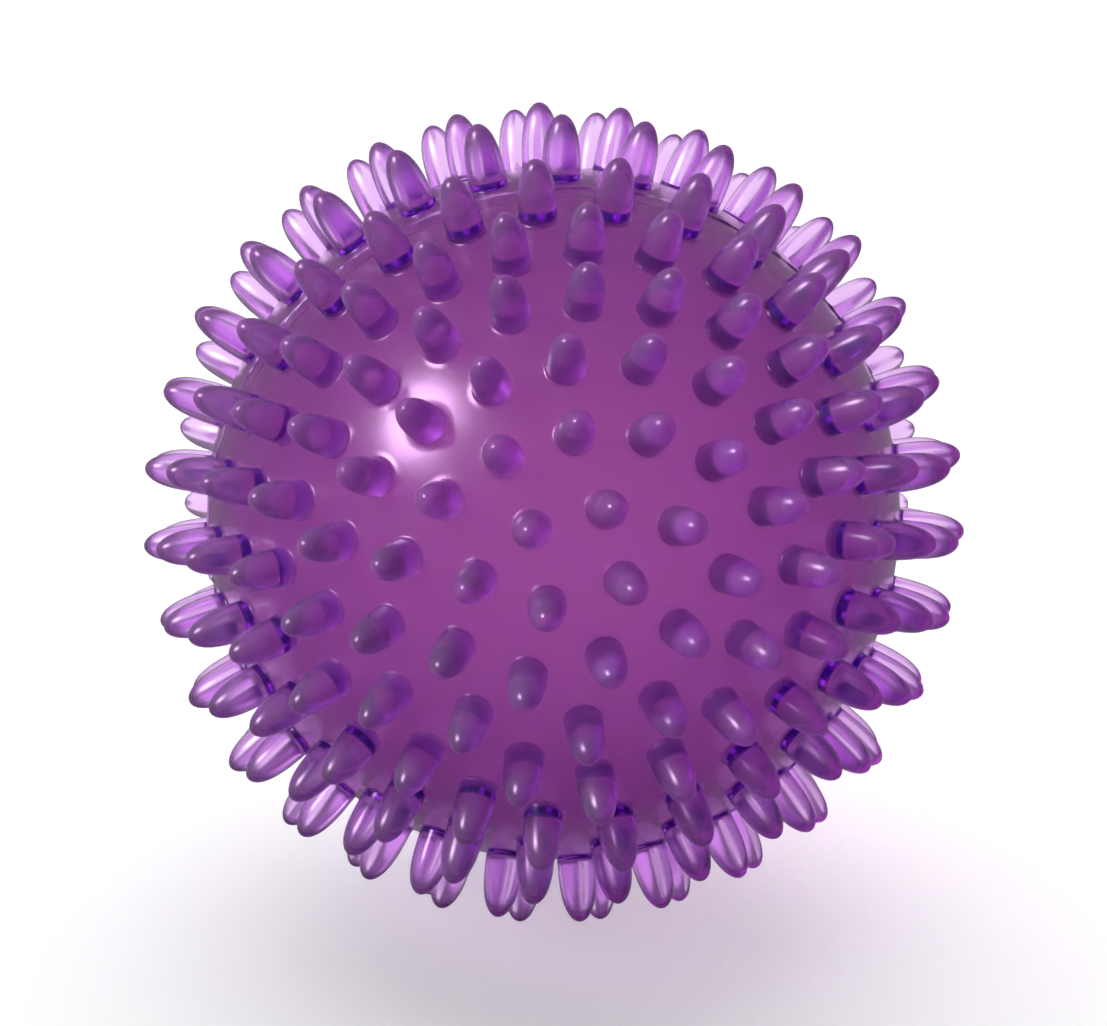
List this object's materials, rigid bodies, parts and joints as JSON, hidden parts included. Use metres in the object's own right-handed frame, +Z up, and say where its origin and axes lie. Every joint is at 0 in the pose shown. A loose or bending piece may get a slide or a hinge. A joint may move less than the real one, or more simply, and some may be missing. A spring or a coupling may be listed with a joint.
{
  "type": "massage ball",
  "caption": "Hollow translucent massage ball covered in blunt soft spikes, moulded in two halves bonded at the seam, with an air valve and a pull-out plug.",
  "frame": {"origin": "the ball's centre", "axes": "+Y along the moulding axis towards the valve, +Z up, the seam in the XZ plane"},
  "size_m": [0.0896, 0.0889, 0.0898],
  "materials": {
    "shell_pvc": "glossy translucent soft PVC",
    "bead_pvc": "glossy uneven bonding bead",
    "bush_pvc": "satin soft PVC",
    "plug_pvc": "satin PVC"
  },
  "bodies": {
    "ball": {"front_shell": "shell_pvc", "rear_shell": "shell_pvc", "seam_bead": "bead_pvc", "valve_bush": "bush_pvc"},
    "plug": {"valve_plug": "plug_pvc"}
  },
  "joints": [
    {"name": "plug_pull", "type": "slide", "parent": "ball", "child": "plug", "axis": [0, 1, 0], "range_m": [0, 0.01]}
  ]
}
